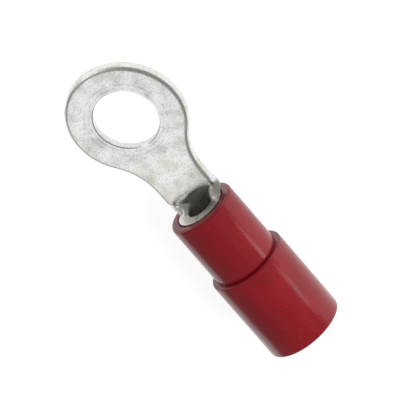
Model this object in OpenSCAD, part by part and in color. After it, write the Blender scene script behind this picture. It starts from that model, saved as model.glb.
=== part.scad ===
// Insulated ring terminal for a small stud: a stamped and rolled terminal of tinned copper sheet,
// pushed into a stepped insulating sleeve.
//
// The origin is the centre of the stud hole on the tongue's underside. +Z is the stud's axis and
// points to the side where the barrel's seam lies. +X runs back along the wire. All sizes are in mm.
//
// The tongue, the neck and the trough that runs into the barrel are one sheet. Its outline is drawn
// flat, as it is blanked, and formed() bends each point of it as the press does. The barrel is the
// same sheet rolled into a tube, so its wall and its edges take the sheet's sizes.

/* [Sheet] */
// Thickness of the copper sheet
sheet_t = 0.75; // [0.65:0.01:0.85]
// Radius of the rolled-over corner that blanking leaves along the sheet's upper edge
blank_roll_r = 0.3; // [0.1:0.01:0.4]
// Radius of the rolled-over corner that piercing leaves at the hole's lower edge
pierce_roll_r = 0.25; // [0.05:0.01:0.4]
// Radius of the tumbled corners on all other edges
tumble_r = 0.06; // [0.02:0.01:0.1]

/* [Ring] */
// Diameter of the stud hole
stud_hole_d = 4.3; // [3.2:0.1:5.3]
// Outer diameter of the ring
ring_d = 8.0; // [7.5:0.1:9]

/* [Neck] */
// Width of the neck between the ring and the barrel
neck_w = 3.65; // [3.3:0.05:3.8]
// Radius of the fillet between the ring and the neck
neck_fillet_r = 4.4; // [3:0.1:4.8]
// Distance from the hole's centre to the bend line
bend_x = 6.4; // [6.2:0.05:7.5]
// Length over which the flat neck is formed into the round of the barrel
trough_l = 1.38; // [1:0.02:2.5]
// How much of the curl lies near the neck's edges where the trough starts
edge_curl = 1.5; // [0:0.1:3]
// Radius of the fillet between the neck and the barrel's wings, along the sheet
wing_fillet_r = 0.45; // [0.3:0.05:0.6]

/* [Barrel] */
// Bore of the wire barrel
barrel_bore_d = 1.8; // [1.7:0.05:1.95]
// Length of the wire barrel
barrel_l = 4.6; // [4:0.1:5.5]
// Height of the barrel's axis above the tongue's underside
barrel_axis_z = 0.885; // [0.7:0.005:1.1]
// Gap of the butted seam
seam_gap = 0.05; // [0.02:0.01:0.12]
// Number of grip grooves inside the barrel
groove_n = 3; // [1:1:4]
// Width of a grip groove
groove_w = 0.35; // [0.2:0.05:0.5]
// Depth of a grip groove
groove_depth = 0.1; // [0.05:0.01:0.15]
// Distance between the middles of neighbouring grip grooves
groove_pitch = 0.9; // [0.6:0.05:1]

/* [Sleeve] */
// Outer diameter of the front section, over the barrel
sleeve_front_d = 4.65; // [4.4:0.05:5]
// Length of the front section
sleeve_front_l = 4.85; // [4.2:0.05:6]
// Outer diameter of the rear section, over the wire's insulation
sleeve_rear_d = 5.4; // [5.2:0.05:6]
// Length of the rear section
sleeve_rear_l = 6.35; // [4:0.05:9]
// Bore of the rear section, where the wire's insulation goes
entry_bore_d = 4.2; // [3.9:0.05:4.4]
// Length of the funnel that leads the wire into the barrel
funnel_l = 1.1; // [0.8:0.05:2]
// Clearance between the barrel and the sleeve, all round and at the barrel's end
fit_clear = 0.02; // [0.01:0.01:0.05]
// Length by which the barrel stands out of the sleeve's front
barrel_proud = 0.02; // [0.01:0.01:0.3]
// Radius of the sleeve's outer edges
sleeve_edge_r = 0.2; // [0.1:0.05:0.3]
// Radius of the edge of the shoulder between the sections
shoulder_edge_r = 0.12; // [0.05:0.01:0.2]
// Width of the chamfer inside the front opening
front_chamfer = 0.15; // [0.05:0.01:0.25]
// Width of the chamfer inside the wire entry
entry_chamfer = 0.2; // [0.05:0.05:0.3]

/* [Hidden] */

// Length by which shapes of one piece run into each other, and cuts run past a face
run_past = 0.35;
// Share of its thickness that the trough keeps inside the barrel's wall, and the distance in front of
// the barrel at which it takes that thickness
tucked = 0.92;
lip_gap = 0.04;
// Angle through which the wing's fillet turns before it runs into the barrel's front face
wing_turn = 65;
// Segments of a rolled corner, of a tumbled corner, of the ring's half outline, of the neck's fillet,
// of the trough's straight edge and of the wing's fillet, and half the strips across the trough
roll_steps = 4;
tumble_steps = 1;
ring_steps = 32;
fillet_steps = 8;
trough_steps = 8;
wing_steps = 4;
half_strips = 8;
// Steps of the sum that follows the sheet's curl out from its middle line
curl_steps = 12;

ring_r = ring_d / 2;
stud_hole_r = stud_hole_d / 2;
half_neck = neck_w / 2;
// The fillet's centre is one fillet radius away from the ring's edge and from the neck's edge
fillet_y = half_neck + neck_fillet_r;
fillet_x = sqrt(pow(ring_r + neck_fillet_r, 2) - pow(fillet_y, 2));
fillet_angle = atan2(fillet_y, fillet_x);

barrel_r = barrel_bore_d / 2;
barrel_outer_r = barrel_r + sheet_t;
barrel_mean_r = barrel_r + sheet_t / 2;
barrel_x = bend_x + trough_l;
barrel_end_x = barrel_x + barrel_l;

sleeve_x = barrel_x + barrel_proud;
shoulder_x = sleeve_x + sleeve_front_l;
sleeve_end_x = shoulder_x + sleeve_rear_l;
seat_r = barrel_outer_r + fit_clear;
seat_end_x = barrel_end_x + fit_clear;
funnel_mouth_r = barrel_r + fit_clear;

// Points of an arc of radius r about [cx, cy] from angle a0 to angle a1
function arc(cx, cy, r, a0, a1, steps) =
    [for (i = [0:steps]) let (a = a0 + (a1 - a0) * i / steps) [cx + r * cos(a), cy + r * sin(a)]];

// The sheet's blanked edge from its underside to its upper side, as [distance in from the edge, height]
edge_profile = concat(
    [for (p = arc(-tumble_r, tumble_r, tumble_r, -90, 0, tumble_steps)) [-p[0], p[1]]],
    [for (p = arc(-blank_roll_r, sheet_t - blank_roll_r, blank_roll_r, 0, 90, roll_steps)) [-p[0], p[1]]]
);

// ---- Terminal ----

// Outline of one side of the flat blank, from the ring's tip to the wing's front edge. Each entry is
// [x, y, inward x, inward y]. Arcs of the ring face their centre, and fillets face away from theirs.
function outline_point(cx, cy, r, a, facing) =
    [cx + r * cos(a), cy + r * sin(a), facing * cos(a), facing * sin(a)];
ring_outline = [for (i = [0:ring_steps])
    outline_point(0, 0, ring_r, 180 + (fillet_angle - 180) * i / ring_steps, -1)];
fillet_outline = [for (i = [1:fillet_steps])
    outline_point(fillet_x, fillet_y, neck_fillet_r, 180 + fillet_angle + (90 - fillet_angle) * i / fillet_steps, 1)];
flat_outline = concat(ring_outline, fillet_outline, [[bend_x, half_neck, 0, -1]]);
trough_end_x = barrel_x - lip_gap;
wing_x = trough_end_x - wing_fillet_r * sin(wing_turn);
trough_outline = concat(
    [for (i = [1:trough_steps]) [bend_x + (wing_x - bend_x) * i / trough_steps, half_neck, 0, -1]],
    [for (i = [1:wing_steps])
        outline_point(wing_x, half_neck + wing_fillet_r, wing_fillet_r, 270 + wing_turn * i / wing_steps, 1)]
);

// Runs smoothly from 0 at the bend line to 1 where the barrel starts
function formed_share(x) =
    let (u = min(max((x - bend_x) / trough_l, 0), 1)) u * u * (3 - 2 * u);

// Angle to which the sheet has curled up at the distance s from its middle line
function curl(x, s) =
    let (share = formed_share(x), spread = 1 + edge_curl * (1 - share))
    share * half_neck / barrel_mean_r * 180 / PI * pow(abs(s) / half_neck, spread);

// Point of the sheet's middle surface that lies at [x, s] in the flat blank
function middle(x, s) =
    let (
        steps = [for (i = [0.5:curl_steps]) curl(x, s * i / curl_steps)],
        ones = [for (a = steps) 1],
        drop = sheet_t / 2 - (barrel_axis_z - barrel_mean_r)
    )
    [
        x,
        ([for (a = steps) cos(a)] * ones) * s / curl_steps,
        sheet_t / 2 - drop * formed_share(x) + ([for (a = steps) sin(a)] * ones) * abs(s) / curl_steps
    ];

// Place of a point of the flat blank at [x, s] and height z, after forming
function formed(x, s, z) =
    x <= bend_x ? [x, s, z] :
    let (
        nudge = 0.01,
        along = middle(x + nudge, s) - middle(x - nudge, s),
        a = curl(x, s),
        across = [0, cos(a), sign(s) * sin(a)],
        up = cross(along, across)
    )
    middle(x, s) + up / norm(up) * (z - sheet_t / 2) * (x >= trough_end_x ? tucked : 1);

// One side's edge at an outline point, formed, from the underside to the upper side
function formed_edge(p, side) =
    [for (e = edge_profile) formed(p[0] + e[0] * p[2], side * (p[1] + e[0] * p[3]), e[1])];

// Points between the two edges at an outline point, from one side to the other at height z
function formed_strip(p, side, z) =
    let (inner = p[1] + p[3] * (z > 0 ? blank_roll_r : tumble_r), x = p[0] + p[2] * (z > 0 ? blank_roll_r : tumble_r))
    [for (i = [1 - half_strips:half_strips - 1]) formed(x, side * inner * i / half_strips, z)];

// Closed loop around the sheet's section at an outline point
function section(p) = concat(
    formed_edge(p, 1),
    formed_strip(p, -1, sheet_t),
    [for (i = [len(edge_profile) - 1:-1:0]) formed_edge(p, -1)[i]],
    formed_strip(p, 1, 0)
);

// Triangles from one point to each pair of neighbours in a list of points
function fan(hub, rim) = [for (i = [0:len(rim) - 2]) [hub, rim[i], rim[i + 1]]];

// The same faces seen from the other side
function flipped(faces, turn) = [for (f = faces) turn ? [f[0], f[2], f[1]] : f];

module formed_sheet() {
    k = len(edge_profile);
    flat_n = len(flat_outline);
    strips = 2 * half_strips - 1;
    loop_n = 2 * (k + strips);
    // The flat part's edge runs from one side of the bend line round the tip to the other side
    edge_run = concat(
        [for (i = [flat_n - 1:-1:0]) formed_edge(flat_outline[i], -1)],
        [for (i = [1:flat_n - 1]) formed_edge(flat_outline[i], 1)]
    );
    run_n = len(edge_run);
    bend_point = flat_outline[flat_n - 1];
    end_point = [barrel_x + run_past, half_neck + wing_fillet_r, 0, -1];
    sections = [for (p = concat(trough_outline, [end_point])) section(p)];
    points = concat(
        [for (edge = edge_run) each edge],
        formed_strip(bend_point, -1, sheet_t),
        formed_strip(bend_point, 1, 0),
        [for (loop = sections) each loop]
    );
    bend_top = run_n * k;
    bend_under = bend_top + strips;
    first_section = bend_under + strips;
    // Loops of point numbers: the bend line's, made of the flat part's own points, and each section's
    bend_loop = concat(
        [for (i = [0:k - 1]) (run_n - 1) * k + i],
        [for (i = [0:strips - 1]) bend_top + i],
        [for (i = [k - 1:-1:0]) i],
        [for (i = [0:strips - 1]) bend_under + i]
    );
    loops = concat(
        [bend_loop],
        [for (j = [0:len(sections) - 1]) [for (i = [0:loop_n - 1]) first_section + j * loop_n + i]]
    );
    tip = flat_n - 1;
    last_row = flat_n - 2;
    bend_upper = [for (i = [k - 1:k + strips]) bend_loop[i]];
    bend_lower = [for (i = [k + strips + k - 1:loop_n]) bend_loop[i % loop_n]];
    end_loop = loops[len(loops) - 1];
    faces = concat(
        // Edge of the flat part
        [for (i = [0:run_n - 2], j = [0:k - 2]) each
            let (a = i * k + j, b = a + k) [[a, b, b + 1], [a, b + 1, a + 1]]],
        // Upper side and underside of the flat part, in rows across it, and the last row to the bend line
        [for (row = [0:last_row - 1], upper = [true, false]) each
            let (
                j = upper ? k - 1 : 0,
                a = (tip - row) * k + j,
                b = (tip + row) * k + j,
                c = (tip - row - 1) * k + j,
                d = (tip + row + 1) * k + j
            )
            flipped(row == 0 ? [[a, d, c]] : [[a, b, d], [a, d, c]], !upper)],
        fan((tip - last_row) * k + k - 1, concat([(tip + last_row) * k + k - 1], bend_upper)),
        fan((tip + last_row) * k, concat([(tip - last_row) * k], bend_lower)),
        // Trough
        [for (j = [0:len(loops) - 2], i = [0:loop_n - 1]) each
            let (
                a = loops[j][i],
                b = loops[j][(i + 1) % loop_n],
                c = loops[j + 1][i],
                d = loops[j + 1][(i + 1) % loop_n]
            )
            [[a, c, d], [a, d, b]]],
        // End of the trough, in strips between its upper side and its underside
        [for (i = [0:strips - 2]) each
            let (
                a = end_loop[k + i],
                b = end_loop[k + i + 1],
                c = end_loop[loop_n - 1 - i],
                d = end_loop[loop_n - 2 - i]
            )
            [[a, c, b], [b, c, d]]],
        flipped(fan(end_loop[loop_n - 1], [for (i = [0:k]) end_loop[i]]), true),
        flipped(fan(end_loop[k + strips - 1], [for (i = [k + strips:2 * k + strips]) end_loop[i]]), true)
    );
    polyhedron(points, faces);
}

// The stud hole as pierced from below: a straight bore with a rolled-over lower edge
module stud_hole() {
    rotate_extrude($fn = 96)
        polygon(concat(
            [[0, -run_past], [stud_hole_r + pierce_roll_r, -run_past]],
            arc(stud_hole_r + pierce_roll_r, pierce_roll_r, pierce_roll_r, 270, 180, roll_steps),
            arc(stud_hole_r + tumble_r, sheet_t - tumble_r, tumble_r, 180, 90, tumble_steps),
            [[stud_hole_r + tumble_r, sheet_t + run_past], [0, sheet_t + run_past]]
        ));
}

// Turns a profile drawn as [distance along the barrel's axis, radius] about that axis
module turned(profile) {
    translate([0, 0, barrel_axis_z])
        rotate([0, 90, 0])
            rotate_extrude($fn = 96)
                polygon([for (p = profile) [p[1], p[0]]]);
}

module barrel() {
    grooves_x = barrel_x + barrel_l / 2 - (groove_n - 1) * groove_pitch / 2;
    front = [[barrel_x, barrel_outer_r], [barrel_x, barrel_r]];
    rear_outer = arc(barrel_end_x - tumble_r, barrel_outer_r - tumble_r, tumble_r, 0, 90, tumble_steps);
    rear_inner = arc(barrel_end_x - tumble_r, barrel_r + tumble_r, tumble_r, 270, 360, tumble_steps);
    grooves = [for (i = [0:groove_n - 1]) each
        let (x = grooves_x + i * groove_pitch, r = barrel_r + groove_depth)
        [[x - groove_w / 2, barrel_r], [x - groove_w / 2, r], [x + groove_w / 2, r], [x + groove_w / 2, barrel_r]]];
    difference() {
        turned(concat(front, grooves, rear_inner, rear_outer));
        // Butted seam
        translate([barrel_x - run_past, -seam_gap / 2, barrel_axis_z])
            cube([barrel_l + 2 * run_past, seam_gap, barrel_outer_r + run_past]);
    }
}

module terminal() {
    color("silver")
        union() {
            difference() {
                formed_sheet();
                stud_hole();
            }
            barrel();
        }
}

// ---- Sleeve ----

module insulating_sleeve() {
    front_r = sleeve_front_d / 2;
    rear_r = sleeve_rear_d / 2;
    entry_r = entry_bore_d / 2;
    color("firebrick")
        turned(concat(
            [[sleeve_x, seat_r + front_chamfer]],
            arc(sleeve_x + sleeve_edge_r, front_r - sleeve_edge_r, sleeve_edge_r, 180, 90, roll_steps),
            [[shoulder_x, front_r]],
            arc(shoulder_x + shoulder_edge_r, rear_r - shoulder_edge_r, shoulder_edge_r, 180, 90, roll_steps),
            arc(sleeve_end_x - sleeve_edge_r, rear_r - sleeve_edge_r, sleeve_edge_r, 90, 0, roll_steps),
            [
                [sleeve_end_x, entry_r + entry_chamfer],
                [sleeve_end_x - entry_chamfer, entry_r],
                [seat_end_x + funnel_l, entry_r],
                [seat_end_x, funnel_mouth_r],
                [seat_end_x, seat_r],
                [sleeve_x + front_chamfer, seat_r]
            ]
        ));
}

terminal();
insulating_sleeve();
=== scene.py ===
"""Dresses the insulated ring terminal: satin tin on the terminal, glossy red vinyl on its sleeve."""

import math

import bpy
from bpy.props import FloatProperty, FloatVectorProperty, PointerProperty
from mathutils import Matrix, Vector


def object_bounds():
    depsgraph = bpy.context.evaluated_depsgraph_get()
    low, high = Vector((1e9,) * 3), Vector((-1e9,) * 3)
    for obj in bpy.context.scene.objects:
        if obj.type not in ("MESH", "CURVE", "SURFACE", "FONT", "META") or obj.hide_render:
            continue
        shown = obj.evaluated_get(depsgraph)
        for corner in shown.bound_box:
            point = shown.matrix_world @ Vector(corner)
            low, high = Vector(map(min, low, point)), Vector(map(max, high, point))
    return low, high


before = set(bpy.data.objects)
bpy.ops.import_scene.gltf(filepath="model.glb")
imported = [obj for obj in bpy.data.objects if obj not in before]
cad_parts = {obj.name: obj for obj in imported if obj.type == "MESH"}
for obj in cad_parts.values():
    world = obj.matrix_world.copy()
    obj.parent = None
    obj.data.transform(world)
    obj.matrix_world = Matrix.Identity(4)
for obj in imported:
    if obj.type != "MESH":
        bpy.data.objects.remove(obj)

bl_info = {
    "name": "Insulated ring terminal",
    "version": (1, 0, 0),
    "blender": (4, 5, 0),
    "location": "3D View > Sidebar > Terminal",
    "description": "Finishes and stage for an insulated ring terminal",
    "category": "Object",
}

MM = 0.001
WHOLE_LOW, WHOLE_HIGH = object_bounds()
WHITE = (1.0, 1.0, 1.0, 1.0)

# Shading of the solids: how close corners are that count as one, and the turn of a true edge
WELD_DISTANCE = 0.0005 * MM
TRUE_EDGE_ANGLE = math.radians(38.0)

# Colours on the tin beside its own
STAIN_COLOR = (0.72, 0.70, 0.62)
SPECK_COLOR = (0.46, 0.46, 0.45)
RIM_COLOR = (0.70, 0.69, 0.50)
WASHER_MARK_COLOR = (0.36, 0.36, 0.36)

# Grains and relief of the tin, and the shares of its roughness that it goes between
TIN_GRAIN = 0.12 * MM
TIN_CLOUD = 0.9 * MM
TIN_SCRATCH = 0.35 * MM
TIN_RELIEF = 0.008 * MM
TIN_ROUGHNESS_SHARES = (0.65, 1.35)

# Marks on the tongue, by their distance from the stud hole's axis, which is at the origin
INNER_MARK_R = 2.42 * MM
INNER_MARK_HALF_WIDTH = 0.07 * MM
OUTER_MARK_R = 2.72 * MM
OUTER_MARK_HALF_WIDTH = 0.06 * MM
RING_R = -WHOLE_LOW.x
RIM_TINT_START_R = RING_R - 0.55 * MM
RIM_TINT_END_R = RING_R - 0.05 * MM

# The vinyl: its deeper and its rubbed colour, grains, relief, shares of its roughness, and depth
DEEP_SHADE = 0.82
RUBBED_COLOR = (0.50, 0.09, 0.10)
VINYL_CLOUD = 2.5 * MM
VINYL_FLOW = 0.5 * MM
VINYL_PIT = 0.3 * MM
FLOW_RELIEF = 0.006 * MM
PIT_RELIEF = 0.003 * MM
VINYL_ROUGHNESS_SHARES = (0.85, 1.2)
VINYL_IOR = 1.5
SUBSURFACE_SHARE = 0.05
SUBSURFACE_REACH = (1.0, 0.2, 0.2)
SUBSURFACE_DEPTH = 0.3 * MM

# Stage: the floor's own colour, the lamps' distance from the part, and the camera
FLOOR_COLOR = (0.6, 0.6, 0.6, 1.0)
LAMP_DISTANCE = 0.5
CAMERA_RIGHT = Vector((0.6033, 0.7864, -0.1330))
CAMERA_UP = Vector((-0.6966, 0.4384, -0.5679))
CAMERA_AIM = Vector((6.81, 1.43, 2.86)) * MM
CAMERA_DISTANCE = 0.5
CAMERA_NEAR, CAMERA_FAR = 0.01, 10.0
SENSOR_WIDTH = 36.0
FOCAL_LENGTH = 695.4


class TinFinish(bpy.types.PropertyGroup):
    color: FloatVectorProperty(
        name="Tin colour",
        description="Colour of the tin plating",
        subtype="COLOR",
        size=3,
        min=0.0,
        max=1.0,
        default=(0.80, 0.80, 0.79),
    )
    roughness: FloatProperty(
        name="Roughness",
        description="How satin the plating is",
        min=0.0,
        max=1.0,
        default=0.34,
    )


class SleeveFinish(bpy.types.PropertyGroup):
    color: FloatVectorProperty(
        name="Sleeve colour",
        description="Colour of the vinyl",
        subtype="COLOR",
        size=3,
        min=0.0,
        max=1.0,
        default=(0.37, 0.004, 0.014),
    )
    roughness: FloatProperty(
        name="Roughness",
        description="How soft the vinyl's shine is",
        min=0.0,
        max=1.0,
        default=0.19,
    )


class StageSettings(bpy.types.PropertyGroup):
    floor_size: FloatProperty(
        name="Floor size",
        description="Width of the white floor",
        subtype="DISTANCE",
        unit="LENGTH",
        default=2.0,
    )
    floor_glow: FloatProperty(
        name="Floor glow",
        description="How bright the floor looks apart from the light that falls on it",
        min=0.0,
        default=0.8,
    )
    sky: FloatProperty(
        name="Sky",
        description="Strength of the even light from all sides",
        min=0.0,
        default=0.30,
    )


def new_material(name):
    """An empty finish, with its nodes, its links and its shader."""
    material = bpy.data.materials.new(name)
    material.use_nodes = True
    tree = material.node_tree
    return material, tree.nodes, tree.links, tree.nodes["Principled BSDF"]


def place_on_part(nodes):
    """The place on the part, in metres."""
    return nodes.new("ShaderNodeTexCoord").outputs["Object"]


def noise(nodes, links, place, grain, detail, stretch=(1.0, 1.0, 1.0)):
    """Noise with grains of the size grain in metres. Where stretch is under 1 they are longer."""
    mapping = nodes.new("ShaderNodeMapping")
    mapping.inputs["Scale"].default_value = stretch
    links.new(place, mapping.inputs["Vector"])
    texture = nodes.new("ShaderNodeTexNoise")
    texture.inputs["Scale"].default_value = 1.0 / grain
    texture.inputs["Detail"].default_value = detail
    links.new(mapping.outputs["Vector"], texture.inputs["Vector"])
    return texture.outputs["Fac"]


def remap(nodes, links, value, between, to):
    """Value taken from the range between into the range to, and held there."""
    node = nodes.new("ShaderNodeMapRange")
    for name, number in zip(("From Min", "From Max", "To Min", "To Max"), (*between, *to)):
        node.inputs[name].default_value = number
    links.new(value, node.inputs["Value"])
    return node.outputs["Result"]


def compute(nodes, links, operation, first, second):
    """One step of arithmetic. Each of first and second is a socket or a number."""
    node = nodes.new("ShaderNodeMath")
    node.operation = operation
    for socket, value in zip(node.inputs, (first, second)):
        if isinstance(value, (int, float)):
            socket.default_value = value
        else:
            links.new(value, socket)
    return node.outputs["Value"]


def blend_colors(nodes, links, share, first, second):
    """Colour that goes from first to second. Each of them is a colour or a socket."""
    node = nodes.new("ShaderNodeMix")
    node.data_type = "RGBA"
    links.new(share, node.inputs["Factor"])
    for socket, value in ((node.inputs["A"], first), (node.inputs["B"], second)):
        if isinstance(value, tuple):
            socket.default_value = (*value, 1.0)
        else:
            links.new(value, socket)
    return node.outputs["Result"]


def bump(nodes, links, shader, layers):
    """Raises the surface by each layer of (height from 0 to 1, depth in metres) in turn."""
    normal = None
    for height, depth in layers:
        node = nodes.new("ShaderNodeBump")
        node.inputs["Strength"].default_value = 1.0
        node.inputs["Distance"].default_value = depth
        links.new(height, node.inputs["Height"])
        if normal is not None:
            links.new(normal, node.inputs["Normal"])
        normal = node.outputs["Normal"]
    links.new(normal, shader.inputs["Normal"])


def distance_from_stud(nodes, links, place):
    """Distance from the stud hole's axis, in metres."""
    flat = nodes.new("ShaderNodeVectorMath")
    flat.operation = "MULTIPLY"
    flat.inputs[1].default_value = (1.0, 1.0, 0.0)
    links.new(place, flat.inputs[0])
    length = nodes.new("ShaderNodeVectorMath")
    length.operation = "LENGTH"
    links.new(flat.outputs["Vector"], length.inputs[0])
    return length.outputs["Value"]


def band(nodes, links, value, middle, half_width):
    """1 where value is at middle, and 0 from half_width away from it on."""
    offset = compute(nodes, links, "SUBTRACT", value, middle)
    away = compute(nodes, links, "ABSOLUTE", offset, 0.0)
    return remap(nodes, links, away, between=(0.0, half_width), to=(1.0, 0.0))


def washer_marks(nodes, links, radius, cloud):
    """Two rings that a washer has pressed round the stud hole, fainter in places."""
    inner = band(nodes, links, radius, INNER_MARK_R, INNER_MARK_HALF_WIDTH)
    outer = band(nodes, links, radius, OUTER_MARK_R, OUTER_MARK_HALF_WIDTH)
    rings = compute(nodes, links, "MAXIMUM", inner, outer)
    wear = remap(nodes, links, cloud, between=(0.38, 0.62), to=(0.2, 1.0))
    return compute(nodes, links, "MULTIPLY", rings, wear)


def rim_tint(nodes, links, radius, cloud):
    """Share of the faint yellow tint on the ring's edge and on all that lies further out, in patches."""
    near_edge = remap(
        nodes, links, radius, between=(RIM_TINT_START_R, RIM_TINT_END_R), to=(0.0, 0.22)
    )
    patches = remap(nodes, links, cloud, between=(0.4, 0.6), to=(0.2, 1.0))
    return compute(nodes, links, "MULTIPLY", near_edge, patches)


def tin_plating(settings):
    """Satin tin: fine grain, drawn scratches, stains, and the rings that a washer has pressed."""
    material, nodes, links, shader = new_material("tin_plating")
    place = place_on_part(nodes)
    grain = noise(nodes, links, place, TIN_GRAIN, detail=6.0)
    cloud = noise(nodes, links, place, TIN_CLOUD, detail=5.0)
    scratches = noise(nodes, links, place, TIN_SCRATCH, detail=8.0, stretch=(0.25, 3.5, 1.0))
    radius = distance_from_stud(nodes, links, place)
    marks = washer_marks(nodes, links, radius, cloud)

    stain = remap(nodes, links, cloud, between=(0.5, 0.75), to=(0.0, 0.6))
    color = blend_colors(nodes, links, stain, tuple(settings.color), STAIN_COLOR)
    specks = remap(nodes, links, grain, between=(0.48, 0.66), to=(0.0, 0.6))
    color = blend_colors(nodes, links, specks, color, SPECK_COLOR)
    color = blend_colors(nodes, links, rim_tint(nodes, links, radius, cloud), color, RIM_COLOR)
    mark_share = remap(nodes, links, marks, between=(0.0, 1.0), to=(0.0, 0.45))
    color = blend_colors(nodes, links, mark_share, color, WASHER_MARK_COLOR)
    links.new(color, shader.inputs["Base Color"])

    shader.inputs["Metallic"].default_value = 1.0
    limits = [settings.roughness * share for share in TIN_ROUGHNESS_SHARES]
    roughness = remap(nodes, links, cloud, between=(0.3, 0.7), to=limits)
    links.new(roughness, shader.inputs["Roughness"])
    pressed = compute(nodes, links, "SUBTRACT", 1.0, marks)
    bump(nodes, links, shader, [(height, TIN_RELIEF) for height in (cloud, scratches, grain, pressed)])
    return material


def red_vinyl(settings):
    """Moulded vinyl: deep red with a soft shine, faint flow clouding, pits and rubbed marks."""
    material, nodes, links, shader = new_material("red_vinyl")
    place = place_on_part(nodes)
    cloud = noise(nodes, links, place, VINYL_CLOUD, detail=3.0)
    flow = noise(nodes, links, place, VINYL_FLOW, detail=4.0, stretch=(0.2, 1.0, 1.0))
    pits = noise(nodes, links, place, VINYL_PIT, detail=2.0)

    deep = tuple(channel * DEEP_SHADE for channel in settings.color)
    deep_share = remap(nodes, links, cloud, between=(0.35, 0.65), to=(0.0, 1.0))
    color = blend_colors(nodes, links, deep_share, tuple(settings.color), deep)
    rubbed = remap(nodes, links, pits, between=(0.68, 0.76), to=(0.0, 0.35))
    color = blend_colors(nodes, links, rubbed, color, RUBBED_COLOR)
    links.new(color, shader.inputs["Base Color"])

    limits = [settings.roughness * share for share in VINYL_ROUGHNESS_SHARES]
    roughness = remap(nodes, links, flow, between=(0.35, 0.65), to=limits)
    links.new(roughness, shader.inputs["Roughness"])
    shader.inputs["IOR"].default_value = VINYL_IOR
    shader.inputs["Subsurface Weight"].default_value = SUBSURFACE_SHARE
    shader.inputs["Subsurface Radius"].default_value = SUBSURFACE_REACH
    shader.inputs["Subsurface Scale"].default_value = SUBSURFACE_DEPTH
    bump(nodes, links, shader, [(flow, FLOW_RELIEF), (pits, PIT_RELIEF)])
    return material


def dress(node, material):
    """Gives a solid its finish, and shades it smooth between its true edges, not by its own normals."""
    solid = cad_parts[node]
    mesh = solid.data
    mesh.materials.clear()
    mesh.materials.append(material)
    if "custom_normal" in mesh.attributes:
        mesh.attributes.remove(mesh.attributes["custom_normal"])
    mesh.polygons.foreach_set("use_smooth", [True] * len(mesh.polygons))
    weld = solid.modifiers.new("weld", "WELD")
    weld.merge_threshold = WELD_DISTANCE
    split = solid.modifiers.new("true_edges", "EDGE_SPLIT")
    split.split_angle = TRUE_EDGE_ANGLE
    split.use_edge_sharp = False


class TerminalOperator(bpy.types.Operator):
    """Gives the terminal its tin plating"""

    bl_idname = "terminal.plate_tongue"
    bl_label = "Plate the terminal"

    def execute(self, context):
        dress("terminal", tin_plating(context.scene.tin_finish))
        return {"FINISHED"}


class SleeveOperator(bpy.types.Operator):
    """Gives the sleeve its glossy red vinyl"""

    bl_idname = "terminal.colour_sleeve"
    bl_label = "Colour the sleeve"

    def execute(self, context):
        dress("insulating_sleeve", red_vinyl(context.scene.sleeve_finish))
        return {"FINISHED"}


def softbox(name, toward, width, radiance, shines_on=None, mirrored=True):
    """A round soft lamp in the direction toward, for all pieces or one alone, mirrored in them or not."""
    lamp = bpy.data.lights.new(name, "AREA")
    lamp.shape = "DISK"
    lamp.size = width
    lamp.energy = radiance * math.pi * math.pi * width * width / 4
    holder = bpy.data.objects.new(name, lamp)
    bpy.context.scene.collection.objects.link(holder)
    middle = (WHOLE_LOW + WHOLE_HIGH) / 2
    away = Vector(toward).normalized()
    holder.location = middle + away * LAMP_DISTANCE
    holder.rotation_mode = "QUATERNION"
    holder.rotation_quaternion = away.to_track_quat("Z", "Y")
    holder.visible_glossy = mirrored
    holder.visible_camera = False
    if shines_on is not None:
        lit = bpy.data.collections.new(name + "_receivers")
        lit.objects.link(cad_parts[shines_on])
        holder.light_linking.receiver_collection = lit


def white_floor(settings):
    """A white floor under the part, bright to the eye and in reflections, that keeps the shadow."""
    material, nodes, links, shader = new_material("white_floor")
    shader.inputs["Base Color"].default_value = FLOOR_COLOR
    shader.inputs["Roughness"].default_value = 1.0
    shader.inputs["Specular IOR Level"].default_value = 0.0
    shader.inputs["Emission Color"].default_value = WHITE
    rays = nodes.new("ShaderNodeLightPath").outputs
    seen = compute(nodes, links, "MAXIMUM", rays["Is Camera Ray"], rays["Is Glossy Ray"])
    seen = compute(nodes, links, "MAXIMUM", seen, rays["Is Transmission Ray"])
    glow = compute(nodes, links, "MULTIPLY", seen, settings.floor_glow)
    links.new(glow, shader.inputs["Emission Strength"])

    half = settings.floor_size / 2
    low = WHOLE_LOW.z
    corners = [(-half, -half, low), (half, -half, low), (half, half, low), (-half, half, low)]
    mesh = bpy.data.meshes.new("floor")
    mesh.from_pydata(corners, [], [(0, 1, 2, 3)])
    mesh.materials.append(material)
    floor = bpy.data.objects.new("floor", mesh)
    bpy.context.scene.collection.objects.link(floor)


def sky(settings):
    """Even light from all sides, which looks white where the camera sees it."""
    world = bpy.data.worlds.new("sky")
    world.use_nodes = True
    nodes, links = world.node_tree.nodes, world.node_tree.links
    background = nodes["Background"]
    background.inputs["Color"].default_value = WHITE
    rays = nodes.new("ShaderNodeLightPath").outputs
    strength = remap(nodes, links, rays["Is Camera Ray"], between=(0.0, 1.0), to=(settings.sky, 1.0))
    links.new(strength, background.inputs["Strength"])
    bpy.context.scene.world = world


def camera():
    """The camera, above the ring, ahead of it and to one side."""
    toward = CAMERA_RIGHT.cross(CAMERA_UP)
    turn = Matrix((CAMERA_RIGHT, CAMERA_UP, toward)).transposed().to_4x4()
    data = bpy.data.cameras.new("camera")
    data.sensor_width = SENSOR_WIDTH
    data.lens = FOCAL_LENGTH
    data.clip_start = CAMERA_NEAR
    data.clip_end = CAMERA_FAR
    holder = bpy.data.objects.new("camera", data)
    bpy.context.scene.collection.objects.link(holder)
    holder.matrix_world = Matrix.Translation(CAMERA_AIM + toward * CAMERA_DISTANCE) @ turn
    bpy.context.scene.camera = holder


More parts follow.
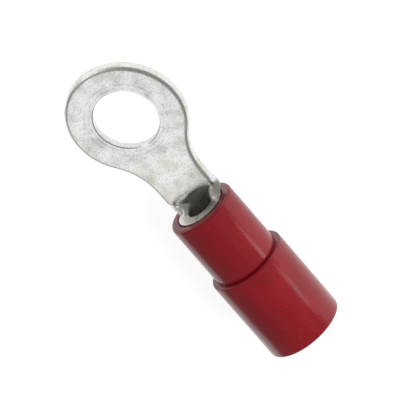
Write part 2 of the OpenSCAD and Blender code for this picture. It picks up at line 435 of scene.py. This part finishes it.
class StageOperator(bpy.types.Operator):
    """Sets up the floor, the lamps, the sky and the camera"""

    bl_idname = "terminal.set_stage"
    bl_label = "Set the stage"

    def execute(self, context):
        settings = context.scene.stage_settings
        white_floor(settings)
        sky(settings)
        softbox("tongue_light", (0.39, -0.44, 0.81), width=0.5, radiance=0.80, shines_on="terminal")
        softbox("rim_light", (-0.75, -0.35, 0.35), width=0.35, radiance=1.2, shines_on="terminal")
        softbox("key_light", (0.25, 0.78, 0.57), width=0.4, radiance=3.6, mirrored=False)
        softbox(
            "streak_light",
            (0.39, 0.90, 0.13),
            width=0.11,
            radiance=2.6,
            shines_on="insulating_sleeve",
        )
        camera()
        context.scene.view_settings.view_transform = "Standard"
        return {"FINISHED"}


class TerminalPanel(bpy.types.Panel):
    bl_idname = "VIEW3D_PT_ring_terminal"
    bl_label = "Ring terminal"
    bl_space_type = "VIEW_3D"
    bl_region_type = "UI"
    bl_category = "Terminal"

    def draw(self, context):
        layout = self.layout
        scene = context.scene
        for settings in (scene.tin_finish, scene.sleeve_finish, scene.stage_settings):
            box = layout.box()
            for name in settings.bl_rna.properties.keys():
                if name not in ("rna_type", "name"):
                    box.prop(settings, name)
        for operator in OPERATORS:
            layout.operator(operator.bl_idname)


SETTINGS = (
    ("tin_finish", TinFinish),
    ("sleeve_finish", SleeveFinish),
    ("stage_settings", StageSettings),
)
OPERATORS = (TerminalOperator, SleeveOperator, StageOperator)


def register():
    for name, group in SETTINGS:
        bpy.utils.register_class(group)
        setattr(bpy.types.Scene, name, PointerProperty(type=group))
    for operator in OPERATORS:
        bpy.utils.register_class(operator)
    bpy.utils.register_class(TerminalPanel)


def unregister():
    bpy.utils.unregister_class(TerminalPanel)
    for operator in reversed(OPERATORS):
        bpy.utils.unregister_class(operator)
    for name, group in reversed(SETTINGS):
        delattr(bpy.types.Scene, name)
        bpy.utils.unregister_class(group)


def main():
    register()
    bpy.ops.terminal.plate_tongue()
    bpy.ops.terminal.colour_sleeve()
    bpy.ops.terminal.set_stage()


if __name__ == "__main__":
    main()
